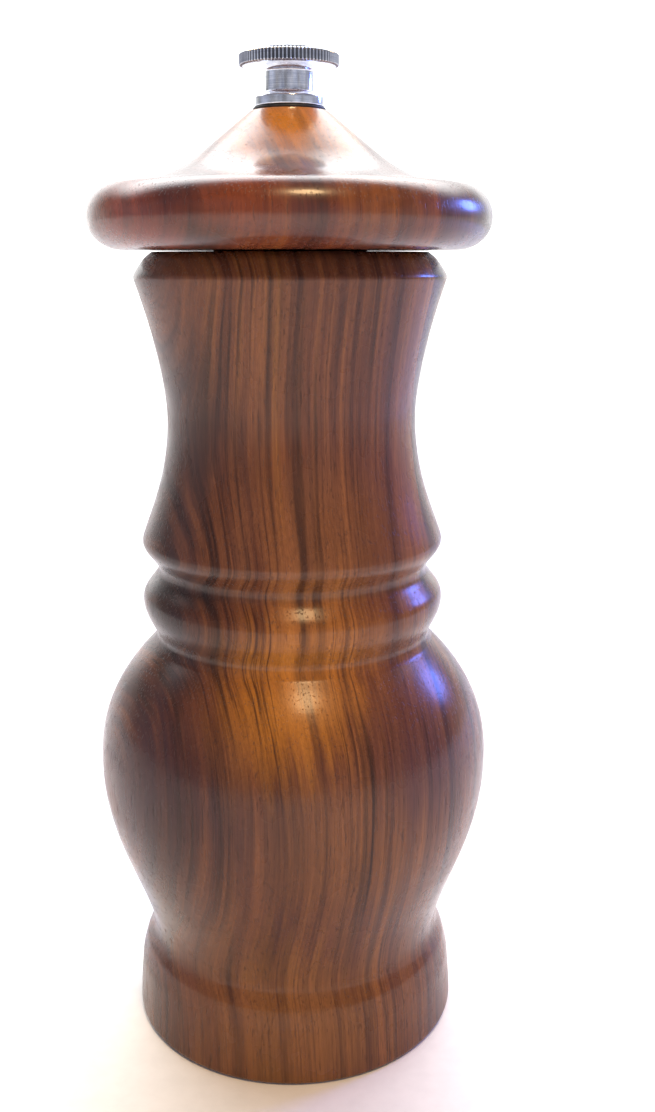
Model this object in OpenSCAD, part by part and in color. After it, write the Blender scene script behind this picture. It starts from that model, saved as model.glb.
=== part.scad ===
// Turned hardwood pepper mill with a wide disc head, a knurled finial nut and a
// square-shaft burr mechanism. Millimetres, +Z up, origin at the centre of the foot.

/* [Body] */
// Greatest radius of the foot, at the surface it stands on
foot_r = 31; // [29:0.1:32]
// Radius of the waist above the foot
waist_r = 27.8; // [27:0.1:29]
// Greatest radius of the belly
belly_r = 36.45; // [34:0.05:38]
// Greatest radius of the bead between belly and neck
bead_r = 27.6; // [26.5:0.1:29]
// Greatest radius of the flare at the foot of the neck
flare_r = 27.4; // [26:0.05:29]
// Smallest radius of the neck
neck_r = 22.2; // [20:0.1:24]
// Radius of the sharp edge of the collar
collar_r = 27.4; // [26:0.1:29]
// Height of the body without the head
body_h = 144.7; // [143.5:0.1:145]
// Radius of the pepper chamber, bored through the body
chamber_r = 13.5; // [13.4:0.05:14]

/* [Head] */
// Greatest radius of the disc
disc_r = 34.8; // [33:0.1:37]
// Height of the crease where the disc meets the cone, above the stand
disc_top_z = 155.7; // [155:0.1:156.5]
// Height of the top of the wood
head_top_z = 167.8; // [167:0.05:168.2]
// Radius of the flat under the nut
head_flat_r = 6.5; // [6.2:0.1:7]
// Radius of the spigot that centres the head in the chamber
spigot_r = 13.2; // [12.8:0.05:13.3]
// Depth of the spigot below the disc
spigot_h = 7.8; // [6:0.1:9]

/* [Finial nut] */
// Greatest radius over the knurl
knurl_r = 8.4; // [8:0.1:9]
// Number of teeth round the knurl
knurl_teeth = 80; // [60:4:96]
// Radius of the flange that bears on the washer
nut_flange_r = 6; // [5.8:0.05:6.2]
// Height of the nut
nut_h = 9.5; // [9.3:0.1:10]

/* [Mechanism] */
// Width across the flats of the shaft
shaft_w = 4.8; // [4.6:0.1:5]
// Pitch of the thread, as on a number 10, 24 to the inch screw
thread_pitch = 1.058; // [0.79:0.001:1.06]
// Teeth on the fine part of each burr
burr_teeth = 20; // [14:1:24]
// Coarse flights on the upper part of the rotor
burr_flights = 5; // [4:1:6]
// How far the shaft rises from coarse to fine
adjust_travel = 2; // [1:0.1:2]
// Free turns of the spring
spring_turns = 4; // [3:0.5:5]

/* [Hidden] */
$fn = 96;
eps = 0.01;

// Heights and radii along the outline of the body.
foot_wall = [30.35, 10.3];
foot_crease = [29.5, 13.8];
waist_z = 18.2;
belly_z = 52;
lower_groove = [25.3, 76.5];
belly_end = [26, 75];
bead_z = 83.3;
upper_groove = [24.7, 89];
flare_z = 94.1;
neck_z = 117;
collar_z = 140.5;
body_top_r = 24;
foot_round = 0.8;

// Bottom recess, chamber and screw holes in the body.
recess_r = 20.5;
recess_h = 12;
bar_screw_x = 17;
bar_screw_r = 1.5;
bar_screw_end_z = 22;
bar_screw_head = [2.9, 1.5];
hole_gap = 0.05;

// Outline of the head.
head_bottom_z = body_h + 0.25;
disc_low_r = 28.8;
disc_edge_z = 150.2;
disc_crease_r = 29.5;
flare_rho = 22.5;
cone_angle = 38.5;
head_bore_r = 3.8;

// Turn plate and its screws, under the spigot.
plate_t = 1;
plate_r = 12.4;
plate_z = head_bottom_z - spigot_h - plate_t;
plate_screw_pcr = 8.8;
plate_screw_r = 1.05;
plate_screw_end_z = 144.6;
plate_screw_head = [2, 1.1];
square_gap = 0.1;

// Washer and finial nut.
washer_t = 0.45;
washer_r = 6.2;
nut_z = head_top_z + washer_t + 0.05;
nut_bore_depth = 7.4;
thread_r = 2.35;
thread_gap = 0.1;
nut_flange_t = 1.65;
nut_neck_r = 4.25;
nut_neck_z = [2.65, 5.3];
nut_cove = [4.75, 5.85];
knurl_z = [6.5, 8.4];
knurl_depth = 0.45;
dome_r = knurl_r - 0.8;
dome_z = 8.7;

// Housing, stator and bridge.
housing_r = 13.3;
housing_bore_r = 11.4;
housing_throat_r = 10.9;
housing_flange_r = 19.9;
housing_flange_t = 2;
housing_top_z = 38.2;
stator_z = 11;
stator_top_z = 23.5;
bridge_t = 1.2;
bridge_w = 7;
bridge_z = housing_top_z - bridge_t;
rivet_x = 12.1;
rivet_r = 0.6;
rivet_head = [1.05, 0.6];
rivet_grip = 4;
bush_r = 4.6;
bush_bore_r = 3.46;
bush_collar_r = 5.6;
bush_collar_t = 1.2;
bridge_eye_r = 5.8;
fit_gap = 0.02;

// Retaining bar under the mechanism.
bar_t = 1.6;
bar_w = 9;
bar_top_z = recess_h - housing_flange_t;
journal_r = 2.3;
journal_gap = 0.08;

// Rotor, from the clip upwards, at its lowest setting.
clip_z = bar_top_z + 0.3;
clip_t = 0.6;
clip_r = 4.1;
thrust_t = 0.55;
thrust_r = 5.2;
rotor_z = clip_z + clip_t + thrust_t;
rotor_waist_z = 18.5;
rotor_top_z = 27;
rotor_low_r = 9.3;
rotor_slope = 0.219;
rotor_top_r = 5.8;
tooth_depth = 0.6;
flight_depth = 1.5;
fine_twist = 24;
coarse_twist = 80;
grind_gap = 0.25;

// Shaft ends.
shaft_end_z = 6.8;
square_start_z = rotor_z;
thread_start_z = 162.5;
shaft_top_z = 173;

// Spring between rotor and bridge.
spring_wire_r = 0.5;
spring_r = 4.7;
spring_washer_t = 0.6;
spring_washer_r = 5.9;
spring_washer_bore_r = 3.6;
spring_top_z = bridge_z - 0.1 - spring_washer_t;

// ---- curves, as lists of [radius, height] ----

// Points from a to b whose radius follows half a cosine wave; skew below 1 turns sooner.
function swell(a, b, skew, n) =
    [for (i = [0:n]) let (t = i / n)
        [a[0] + (b[0] - a[0]) * (1 - cos(180 * pow(t, skew))) / 2, a[1] + (b[1] - a[1]) * t]];

// Points from a to b whose radius follows a power of the height.
function power_curve(a, b, m, n) =
    [for (i = [0:n]) let (t = i / n)
        [a[0] + (b[0] - a[0]) * pow(t, m), a[1] + (b[1] - a[1]) * t]];

// Points along an ellipse with semi-axes q, from angle a0 to a1.
function ellipse_arc(c, q, a0, a1, n) =
    [for (i = [0:n]) let (a = a0 + (a1 - a0) * i / n) [c[0] + q[0] * cos(a), c[1] + q[1] * sin(a)]];

// Points along the circular arc from a to b that bulges by sag away from the axis.
function bulge(a, b, sag, n) =
    let (d = b - a, half = norm(d) / 2, rho = (half * half + sag * sag) / (2 * abs(sag)),
         side = sag > 0 ? 1 : -1, u = d / (2 * half), v = [u[1], -u[0]] * side,
         c = (a + b) / 2 - v * (rho - abs(sag)), span = asin(half / rho))
    [for (i = [0:n]) let (w = -span + 2 * span * i / n) c + v * rho * cos(w) + u * rho * sin(w)];

body_outline = concat(
    [[recess_r + 0.4, 0]],
    ellipse_arc([foot_r - foot_round, foot_round], [foot_round, foot_round], -90, 0, 5),
    bulge([foot_r, foot_round + 0.1], foot_wall, 0.1, 4),
    bulge(foot_wall + [-0.03, 0.1], foot_crease, 0.12, 4),
    swell(foot_crease + [-0.05, 0.15], [waist_r, waist_z], 0.7, 8),
    swell([waist_r, waist_z + 0.1], [belly_r, belly_z], 0.785, 22),
    power_curve([belly_r, belly_z + 0.1], belly_end, 2.3, 20),
    [lower_groove - [0, 0.25]],
    swell(lower_groove + [0, 0.25], [bead_r, bead_z], 0.82, 8),
    swell([bead_r, bead_z + 0.1], upper_groove - [0, 0.25], 1.15, 8),
    swell(upper_groove + [0, 0.25], [flare_r, flare_z], 1, 8),
    swell([flare_r, flare_z + 0.1], [neck_r, neck_z], 0.62, 20),
    power_curve([neck_r, neck_z + 0.1], [collar_r, collar_z], 1.55, 18),
    bulge([collar_r - 0.1, collar_z + 0.3], [body_top_r, body_h], 0.6, 8)
);

head_outline = concat(
    [[spigot_r, head_bottom_z]],
    ellipse_arc([disc_low_r, disc_edge_z], [disc_r - disc_low_r, disc_edge_z - head_bottom_z], -90, 0, 12),
    ellipse_arc([disc_crease_r, disc_edge_z], [disc_r - disc_crease_r, disc_top_z - disc_edge_z], 3, 90, 14),
    [for (i = [1:14]) let (a = cone_angle * i / 14)
        [disc_crease_r - flare_rho * sin(a), disc_top_z + flare_rho * (1 - cos(a))]],
    [[head_flat_r + 0.25, head_top_z - 0.15], [head_flat_r, head_top_z]]
);

// Nut: flange, cove, neck, flare and rim, in heights above the flange.
nut_outline = concat(
    [[nut_flange_r - 0.15, 0], [nut_flange_r, 0.15], [nut_flange_r, nut_flange_t - 0.15]],
    swell([nut_flange_r - 0.3, nut_flange_t], [nut_neck_r, nut_neck_z[0]], 0.6, 6),
    [[nut_neck_r, nut_neck_z[1]], [(nut_neck_r + nut_cove[0]) / 2 - 0.05, nut_cove[1] - 0.15], nut_cove],
    [[knurl_r - 0.8, knurl_z[0] - 0.15]],
    [[knurl_r - 0.7, knurl_z[0]], [knurl_r - 0.7, knurl_z[1]], [dome_r, dome_z]]
);

// ---- wooden parts ----

module body() {
    color("#6b4433")
    difference() {
        rotate_extrude() polygon(concat([[0, 0]], body_outline, [[0, body_h]]));
        translate([0, 0, -eps]) cylinder(r = recess_r, h = recess_h + eps);
        cylinder(r = chamber_r, h = body_h + 1);
        for (s = [-1, 1])
            translate([s * bar_screw_x, 0, recess_h - eps])
                cylinder(r = bar_screw_r + hole_gap, h = bar_screw_end_z - recess_h + 0.5);
    }
}

module head() {
    color("#8a4a2c")
    difference() {
        union() {
            rotate_extrude() polygon(concat([[0, head_bottom_z]], head_outline, [[0, head_top_z]]));
            translate([0, 0, head_bottom_z - spigot_h]) cylinder(r = spigot_r, h = spigot_h + 1);
        }
        translate([0, 0, head_bottom_z - spigot_h - 1]) cylinder(r = head_bore_r, h = 40);
        for (a = [0:120:240])
            rotate(a) translate([plate_screw_pcr, 0, head_bottom_z - spigot_h - eps])
                cylinder(r = plate_screw_r + hole_gap, h = plate_screw_end_z - plate_z - plate_t + 0.5);
    }
}

// ---- fasteners ----

// Pan-head wood screw, driven along +Z, with its head below z = 0 and a cross recess.
module pan_screw(r, length, head_r, head_h) {
    difference() {
        union() {
            translate([0, 0, -head_h])
                rotate_extrude() polygon([[0, 0], [head_r * 0.72, 0], [head_r * 0.93, head_h * 0.35],
                                          [head_r, head_h * 0.75], [head_r, head_h], [0, head_h]]);
            cylinder(r = r, h = length - 2 * r);
            translate([0, 0, length - 2 * r]) cylinder(r1 = r, r2 = 0.15, h = 2 * r);
        }
        for (a = [0, 90])
            rotate(a) translate([-head_r * 0.45, -head_r * 0.1, -head_h - eps])
                cube([head_r * 0.9, head_r * 0.2, head_h * 0.6]);
    }
}

module bar_screw(side) {
    color("silver") translate([side * bar_screw_x, 0, bar_top_z - bar_t])
        pan_screw(bar_screw_r, bar_screw_end_z - bar_top_z + bar_t, bar_screw_head[0], bar_screw_head[1]);
}

module plate_screw(angle) {
    color("silver") rotate(angle) translate([plate_screw_pcr, 0, plate_z])
        pan_screw(plate_screw_r, plate_screw_end_z - plate_z, plate_screw_head[0], plate_screw_head[1]);
}

module bridge_rivet(side) {
    color("silver") translate([side * rivet_x, 0, 0]) {
        translate([0, 0, bridge_z - rivet_grip]) cylinder(r = rivet_r, h = rivet_grip + bridge_t);
        translate([0, 0, housing_top_z])
            rotate_extrude() polygon(concat([[0, 0]], ellipse_arc([0, 0], rivet_head, 0, 90, 5)));
    }
}

// ---- head fittings ----

module turn_plate() {
    color("lightgray")
    difference() {
        translate([0, 0, plate_z]) cylinder(r = plate_r, h = plate_t);
        translate([-shaft_w / 2 - square_gap, -shaft_w / 2 - square_gap, plate_z - 1])
            cube([shaft_w + 2 * square_gap, shaft_w + 2 * square_gap, plate_t + 2]);
        for (a = [0:120:240])
            rotate(a) translate([plate_screw_pcr, 0, plate_z - 1])
                cylinder(r = plate_screw_r + hole_gap, h = plate_t + 2);
    }
}

module nut_washer() {
    color("#1c1c20") translate([0, 0, head_top_z])
    difference() {
        cylinder(r = washer_r, h = washer_t);
        translate([0, 0, -1]) cylinder(r = thread_r + 0.35, h = washer_t + 2);
    }
}

module finial_nut() {
    color("#d8dbe2") translate([0, 0, nut_z])
    difference() {
        union() {
            rotate_extrude() polygon(concat([[0, 0]], nut_outline, [[0, dome_z]]));
            translate([0, 0, dome_z]) rotate_extrude()
                polygon(concat([[0, 0]], ellipse_arc([0, 0], [dome_r, nut_h - dome_z], 0, 90, 10)));
            knurl();
        }
        translate([0, 0, -1]) cylinder(r = thread_r + thread_gap, h = nut_bore_depth + 1);
    }
}

// The toothed rim: a ring of blunt teeth.
module knurl() {
    step = 360 / knurl_teeth;
    root_r = knurl_r - knurl_depth;
    tooth = [[-0.36, root_r], [-0.14, knurl_r], [0.14, knurl_r], [0.36, root_r]];
    translate([0, 0, knurl_z[0]]) linear_extrude(knurl_z[1] - knurl_z[0])
        polygon([for (k = [0:knurl_teeth - 1], c = tooth) c[1] * [cos((k + c[0]) * step), sin((k + c[0]) * step)]]);
}

// ---- shaft and rotor ----

module shaft() {
    color("#b9bcc2")
    difference() {
        union() {
            translate([0, 0, shaft_end_z + 0.4]) cylinder(r = journal_r, h = square_start_z - shaft_end_z);
            translate([0, 0, shaft_end_z]) cylinder(r1 = journal_r - 0.4, r2 = journal_r, h = 0.4);
            translate([-shaft_w / 2, -shaft_w / 2, square_start_z])
                cube([shaft_w, shaft_w, thread_start_z - square_start_z]);
            thread();
        }
        difference() {
            translate([0, 0, clip_z - 0.02]) cylinder(r = journal_r + 1, h = clip_t + 0.04);
            translate([0, 0, clip_z - 1]) cylinder(r = journal_r - 0.6, h = clip_t + 2);
        }
    }
}

// Threaded end of the shaft: a core with one ring for each turn of the thread.
module thread() {
    length = shaft_top_z - thread_start_z;
    turns = floor(length / thread_pitch);
    root_r = thread_r - 0.5;
    ring = [[0.05, root_r], [0.4, thread_r], [0.6, thread_r], [0.95, root_r]];
    translate([0, 0, thread_start_z - eps]) rotate_extrude()
        polygon(concat(
            [[0, 0], [root_r, 0]],
            [for (k = [0:turns - 1], c = ring) [c[1], (k + c[0]) * thread_pitch]],
            [[root_r, turns * thread_pitch], [root_r - 0.3, length], [0, length]]
        ));
}

module shaft_clip() {
    color("#8d9096") translate([0, 0, clip_z])
    difference() {
        cylinder(r = clip_r, h = clip_t);
        translate([0, 0, -1]) cylinder(r = journal_r - 0.55, h = clip_t + 2);
        translate([0, -journal_r + 0.75, -1]) cube([6, 2 * journal_r - 1.5, clip_t + 2]);
    }
}

module thrust_washer() {
    color("#c9a45a") translate([0, 0, clip_z + clip_t])
    difference() {
        cylinder(r = thrust_r, h = thrust_t);
        translate([0, 0, -1]) cylinder(r = journal_r + 0.1, h = thrust_t + 2);
    }
}

// Saw-toothed wheel outline: n teeth from root_r to tip_r.
module toothed(n, tip_r, root_r) {
    step = 360 / n;
    polygon([for (k = [0:n - 1], c = [[0, root_r], [0.35, root_r], [0.62, tip_r], [0.85, tip_r]])
        c[1] * [cos((k + c[0]) * step), sin((k + c[0]) * step)]]);
}

// Twisted, tapered toothed cone from radius low_r at the bottom to high_r at the top.
module burr_cone(n, low_r, high_r, depth, h, twist, slices) {
    linear_extrude(height = h, twist = twist, scale = high_r / low_r, slices = slices)
        toothed(n, low_r, low_r - depth);
}

module rotor_burr() {
    fine_h = rotor_waist_z - rotor_z;
    coarse_h = rotor_top_z - rotor_waist_z;
    waist_tip_r = rotor_low_r - rotor_slope * fine_h;
    bore = shaft_w + 2 * fit_gap;
    color("#9a9da3")
    difference() {
        union() {
            translate([0, 0, rotor_z])
                burr_cone(burr_teeth, rotor_low_r, waist_tip_r, tooth_depth, fine_h, fine_twist, 8);
            translate([0, 0, rotor_waist_z - eps])
                burr_cone(burr_flights, waist_tip_r - 0.3, rotor_top_r + 0.4, flight_depth,
                          coarse_h - 0.6, coarse_twist, 14);
            translate([0, 0, rotor_waist_z]) cylinder(r = rotor_top_r - 0.1, h = coarse_h);
        }
        translate([-bore / 2, -bore / 2, rotor_z - 1]) cube([bore, bore, rotor_top_z - rotor_z + 2]);
    }
}

module stator_ring() {
    low_r = rotor_low_r + rotor_slope * (adjust_travel + rotor_z - stator_z) + grind_gap;
    throat_z = rotor_waist_z + 0.5;
    throat_r = low_r - rotor_slope * (throat_z - stator_z);
    color("#85888e")
    difference() {
        translate([0, 0, stator_z]) cylinder(r = housing_bore_r - fit_gap, h = stator_top_z - stator_z);
        translate([0, 0, stator_z - eps])
            burr_cone(burr_teeth + 4, low_r + tooth_depth, throat_r + tooth_depth, tooth_depth,
                      throat_z - stator_z + 2 * eps, -fine_twist, 8);
        translate([0, 0, throat_z])
            linear_extrude(height = stator_top_z - throat_z + eps, twist = -20,
                           scale = (housing_throat_r - 0.2) / (throat_r + tooth_depth), slices = 6)
                toothed(burr_teeth / 2, throat_r + tooth_depth, throat_r);
    }
}

// ---- spring ----

module spring_washer() {
    color("#b9bcc2") translate([0, 0, spring_top_z])
    difference() {
        cylinder(r = spring_washer_r, h = spring_washer_t);
        translate([0, 0, -1]) cylinder(r = spring_washer_bore_r, h = spring_washer_t + 2);
    }
}

// A round wire swept along a helix, closed by a flat cap at each end.
module spring() {
    sides = 8;
    steps_per_turn = 24;
    steps = spring_turns * steps_per_turn;
    rise = spring_top_z - rotor_top_z - 2 * spring_wire_r - 0.1;
    base_z = rotor_top_z + spring_wire_r + 0.05;
    rings = [for (i = [0:steps], j = [0:sides - 1])
        let (a = 360 * i / steps_per_turn, b = 360 * j / sides, r = spring_r + spring_wire_r * cos(b))
        [r * cos(a), r * sin(a), base_z + rise * i / steps + spring_wire_r * sin(b)]];
    sides_faces = [for (i = [0:steps - 1], j = [0:sides - 1]) let (k = (j + 1) % sides)
        [i * sides + j, i * sides + k, (i + 1) * sides + k, (i + 1) * sides + j]];
    first_cap = [[for (j = [sides - 1:-1:0]) j]];
    last_cap = [[for (j = [0:sides - 1]) steps * sides + j]];
    color("#a8abb0") polyhedron(rings, concat(sides_faces, first_cap, last_cap));
}

// ---- housing, bridge and retaining bar ----

module burr_housing() {
    color("#26262a")
    difference() {
        union() {
            translate([0, 0, bar_top_z]) cylinder(r = housing_flange_r, h = housing_flange_t);
            translate([0, 0, bar_top_z]) cylinder(r = housing_r, h = housing_top_z - bar_top_z);
        }
        translate([0, 0, bar_top_z - 1]) cylinder(r = housing_bore_r, h = stator_top_z - bar_top_z + 1);
        translate([0, 0, stator_top_z - eps]) cylinder(r = housing_throat_r, h = housing_top_z);
        translate([-20, -bridge_w / 2 - 0.05, bridge_z]) cube([40, bridge_w + 0.1, bridge_t + 1]);
        for (s = [-1, 1]) {
            translate([s * bar_screw_x, 0, bar_top_z - 1])
                cylinder(r = bar_screw_r + hole_gap, h = housing_flange_t + 2);
            translate([s * rivet_x, 0, bridge_z - rivet_grip - 0.2])
                cylinder(r = rivet_r + fit_gap, h = rivet_grip + 1);
        }
    }
}

module bridge_bar() {
    color("#b9bcc2")
    difference() {
        union() {
            intersection() {
                translate([-housing_r, -bridge_w / 2, bridge_z]) cube([2 * housing_r, bridge_w, bridge_t]);
                translate([0, 0, bridge_z - 1]) cylinder(r = housing_r - 0.05, h = bridge_t + 2);
            }
            translate([0, 0, bridge_z]) cylinder(r = bridge_eye_r, h = bridge_t);
        }
        translate([0, 0, bridge_z - 1]) cylinder(r = bush_r + fit_gap, h = bridge_t + 2);
        for (s = [-1, 1])
            translate([s * rivet_x, 0, bridge_z - 1]) cylinder(r = rivet_r + fit_gap, h = bridge_t + 2);
    }
}

module guide_bush() {
    color("#c9a45a")
    difference() {
        union() {
            translate([0, 0, bridge_z]) cylinder(r = bush_r, h = bridge_t);
            translate([0, 0, housing_top_z]) cylinder(r = bush_collar_r, h = bush_collar_t);
        }
        translate([0, 0, bridge_z - 1]) cylinder(r = bush_bore_r, h = bridge_t + bush_collar_t + 2);
    }
}

module retaining_bar() {
    z = bar_top_z - bar_t;
    color("#b9bcc2")
    difference() {
        intersection() {
            translate([-20, -bar_w / 2, z]) cube([40, bar_w, bar_t]);
            translate([0, 0, z - 1]) cylinder(r = housing_flange_r - 0.1, h = bar_t + 2);
        }
        translate([0, 0, z - 1]) cylinder(r = journal_r + journal_gap, h = bar_t + 2);
        for (s = [-1, 1])
            translate([s * bar_screw_x, 0, z - 1]) cylinder(r = bar_screw_r + hole_gap, h = bar_t + 2);
    }
}

body();
burr_housing();
stator_ring();
bridge_bar();
guide_bush();
bridge_rivet(-1);  // bridge_rivet_1
bridge_rivet(1);  // bridge_rivet_2
retaining_bar();
bar_screw(-1);  // bar_screw_1
bar_screw(1);  // bar_screw_2
spring();
spring_washer();
shaft();
rotor_burr();
thrust_washer();
shaft_clip();
head();
turn_plate();
plate_screw(0);  // plate_screw_1
plate_screw(120);  // plate_screw_2
plate_screw(240);  // plate_screw_3
nut_washer();
finial_nut();
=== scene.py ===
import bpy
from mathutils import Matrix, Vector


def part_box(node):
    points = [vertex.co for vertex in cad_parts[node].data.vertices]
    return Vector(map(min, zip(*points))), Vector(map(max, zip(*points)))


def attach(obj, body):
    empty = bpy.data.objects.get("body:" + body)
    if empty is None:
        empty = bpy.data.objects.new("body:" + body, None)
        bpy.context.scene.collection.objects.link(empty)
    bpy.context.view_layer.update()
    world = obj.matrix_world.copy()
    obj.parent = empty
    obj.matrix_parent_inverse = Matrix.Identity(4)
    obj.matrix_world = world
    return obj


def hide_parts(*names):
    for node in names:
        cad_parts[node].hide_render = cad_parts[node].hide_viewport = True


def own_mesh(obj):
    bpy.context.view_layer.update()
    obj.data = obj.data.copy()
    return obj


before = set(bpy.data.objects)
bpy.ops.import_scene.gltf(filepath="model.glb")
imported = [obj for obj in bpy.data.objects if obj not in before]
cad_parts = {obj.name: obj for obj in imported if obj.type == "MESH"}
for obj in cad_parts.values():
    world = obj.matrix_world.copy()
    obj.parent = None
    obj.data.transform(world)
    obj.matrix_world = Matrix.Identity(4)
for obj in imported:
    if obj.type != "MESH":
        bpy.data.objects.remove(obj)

"""Turned rosewood pepper mill: smooth turnings, a knurled nut, a coiled spring and a threaded shaft
are built here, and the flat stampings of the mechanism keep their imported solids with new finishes.
All shapes are in millimetres in the part's own frame and become metres when a mesh is made."""

import logging
import math
from dataclasses import dataclass, field
from enum import Enum
from typing import Any

import bpy
import numpy as np

Tree = bpy.types.NodeTree
Socket = bpy.types.NodeSocket
Point = tuple[float, float]

log = logging.getLogger("pepper_mill")
MM = 0.001
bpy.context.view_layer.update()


class Metal(Enum):
    """How a metal surface was last worked."""

    STAMPED = "stamped"
    TURNED = "turned"
    DRAWN = "drawn"
    HARDENED = "hardened"


# ---------------------------------------------------------------- numbers and meshes


def linear(hex_colour: str) -> tuple[float, float, float, float]:
    """Turns an sRGB hex colour into linear light.

    Args:
        hex_colour: six hex digits with a leading hash.

    Returns:
        Red, green, blue and an alpha of one.
    """
    parts = np.array([int(hex_colour[i : i + 2], 16) for i in (1, 3, 5)]) / 255.0
    light = np.where(parts <= 0.04045, parts / 12.92, ((parts + 0.055) / 1.055) ** 2.4)
    return (*light.tolist(), 1.0)


def swell(start: Point, end: Point, skew: float, count: int = 60) -> np.ndarray:
    """Curve whose radius follows half a cosine wave of the height.

    r = r0 + (r1 - r0) * (1 - cos(pi * t ** skew)) / 2, with t the share of the height covered.

    Args:
        start: radius and height where the curve begins.
        end: radius and height where it ends.
        skew: below one turns sooner, above one later.
        count: number of points.

    Returns:
        Points as (radius, height) rows.
    """
    t = np.linspace(0.0, 1.0, count)
    share = (1.0 - np.cos(np.pi * t**skew)) / 2.0
    return np.stack([start[0] + (end[0] - start[0]) * share, start[1] + (end[1] - start[1]) * t], axis=1)


def power_curve(start: Point, end: Point, power: float, count: int = 60) -> np.ndarray:
    """Curve whose radius follows a power of the height: r = r0 + (r1 - r0) * t ** power.

    Args:
        start: radius and height where the curve begins.
        end: radius and height where it ends.
        power: exponent; above one it leaves the start upright.
        count: number of points.

    Returns:
        Points as (radius, height) rows.
    """
    t = np.linspace(0.0, 1.0, count)
    return np.stack([start[0] + (end[0] - start[0]) * t**power, start[1] + (end[1] - start[1]) * t], axis=1)


def ellipse(centre: Point, half: Point, a0: float, a1: float, count: int = 40) -> np.ndarray:
    """Arc of an ellipse: centre plus half-axes times cosine and sine of the angle.

    Args:
        centre: radius and height of the centre.
        half: half-axes along the radius and the height.
        a0: first angle in degrees.
        a1: last angle in degrees.
        count: number of points.

    Returns:
        Points as (radius, height) rows.
    """
    a = np.radians(np.linspace(a0, a1, count))
    return np.stack([centre[0] + half[0] * np.cos(a), centre[1] + half[1] * np.sin(a)], axis=1)


def line(*points: Point) -> np.ndarray:
    """Straight runs through the given (radius, height) points."""
    return np.array(points, dtype=float)


def soften(outline: np.ndarray, radius: float, longest: float, turn: float = 3.0) -> np.ndarray:
    """Rounds every corner of an outline slightly and spaces its points by how much it bends.

    The outline is resampled at a fifth of the radius and averaged with its neighbours, which is a
    Gaussian blur of about that radius; then points are laid so that none is further than longest
    from the next and the outline turns by no more than turn degrees between them.

    Args:
        outline: (radius, height) rows; the first and last stay where they are.
        radius: size of the rounding in millimetres.
        longest: longest step in millimetres.
        turn: largest turn between two points, in degrees.

    Returns:
        The softened (radius, height) rows.
    """
    step = radius / 5.0
    run = np.concatenate([[0.0], np.cumsum(np.hypot(*np.diff(outline, axis=0).T))])
    s = np.linspace(0.0, run[-1], max(int(run[-1] / step), 8))
    fine = np.stack([np.interp(s, run, outline[:, k]) for k in (0, 1)], axis=1)
    for _ in range(24):
        fine[1:-1] = (fine[:-2] + 2.0 * fine[1:-1] + fine[2:]) / 4.0
    gap = np.diff(fine, axis=0)
    heading = np.unwrap(np.arctan2(gap[:, 1], gap[:, 0]))
    bend = np.abs(np.diff(heading, prepend=heading[0]))
    need = np.concatenate([[0.0], np.cumsum(np.hypot(*gap.T) / longest + bend / math.radians(turn))])
    even = np.linspace(0.0, need[-1], int(need[-1]) + 2)
    return np.stack([np.interp(even, need, fine[:, k]) for k in (0, 1)], axis=1)


def rings_from(outline: np.ndarray, segments: int) -> np.ndarray:
    """Turns an outline round the axis: x = r cos a, y = r sin a, z = height, for every angle a.

    Args:
        outline: (radius, height) rows.
        segments: number of steps round.

    Returns:
        Points on a grid, one ring for each row of the outline.
    """
    a = np.arange(segments) * (2.0 * np.pi / segments)
    r, z = outline[:, :1], outline[:, 1:]
    return np.stack([r * np.cos(a), r * np.sin(a), np.broadcast_to(z, (len(outline), segments))], axis=2)


def grid_faces(rows: int, columns: int, wrap_rows: bool) -> np.ndarray:
    """Four-sided faces of a grid that is always closed along its columns.

    Args:
        rows: number of rings.
        columns: points in each ring.
        wrap_rows: True if the last ring joins the first, as on a tube bent into a loop.

    Returns:
        Vertex numbers, four to a face, turning so that faces look outwards.
    """
    i = np.arange(rows if wrap_rows else rows - 1)[:, None]
    j = np.arange(columns)[None, :]
    following, beside = (i + 1) % rows, (j + 1) % columns
    corners = [i * columns + j, i * columns + beside, following * columns + beside, following * columns + j]
    return np.stack([np.broadcast_to(c, (len(i), columns)) for c in corners], axis=2).reshape(-1, 4)


def make_piece(
    name: str, rings: np.ndarray, wrap_rows: bool = False, sharp: float = 40.0,
) -> bpy.types.Object:
    """Makes one closed mesh from a grid of rings and puts it into the scene.

    Without wrap_rows each end is closed by a fan to the mean of its last ring, which is a point
    on the axis for a turned shape and the middle of the wire's end for a wire.

    Args:
        name: name of the new object.
        rings: points on a grid, in millimetres.
        wrap_rows: True if the last ring joins the first.
        sharp: edges that turn by more than this many degrees stay sharp.

    Returns:
        The new object, at the origin, with its place in its mesh.
    """
    rows, columns = rings.shape[:2]
    points = rings.reshape(-1, 3)
    faces = grid_faces(rows, columns, wrap_rows).tolist()
    if not wrap_rows:
        points = np.concatenate([points, rings[[0, -1]].mean(axis=1)])
        j = np.arange(columns)
        beside, first, last = (j + 1) % columns, rows * columns, rows * columns + 1
        top = (rows - 1) * columns
        faces += np.stack([beside, j, np.full(columns, first)], axis=1).tolist()
        faces += np.stack([top + j, top + beside, np.full(columns, last)], axis=1).tolist()
    mesh = bpy.data.meshes.new(name)
    mesh.from_pydata((points * MM).tolist(), [], faces)
    mesh.validate()
    mesh.shade_smooth()
    mesh.set_sharp_from_angle(angle=math.radians(sharp))
    piece = bpy.data.objects.new(name, mesh)
    bpy.context.scene.collection.objects.link(piece)
    return piece


def dress(piece: bpy.types.Object, finish: bpy.types.Material) -> None:
    """Gives a piece one material in every slot it has, or in a new one."""
    if not piece.data.materials:
        piece.data.materials.append(finish)
    for k in range(len(piece.material_slots)):
        piece.material_slots[k].material = finish


# ---------------------------------------------------------------- materials


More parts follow.
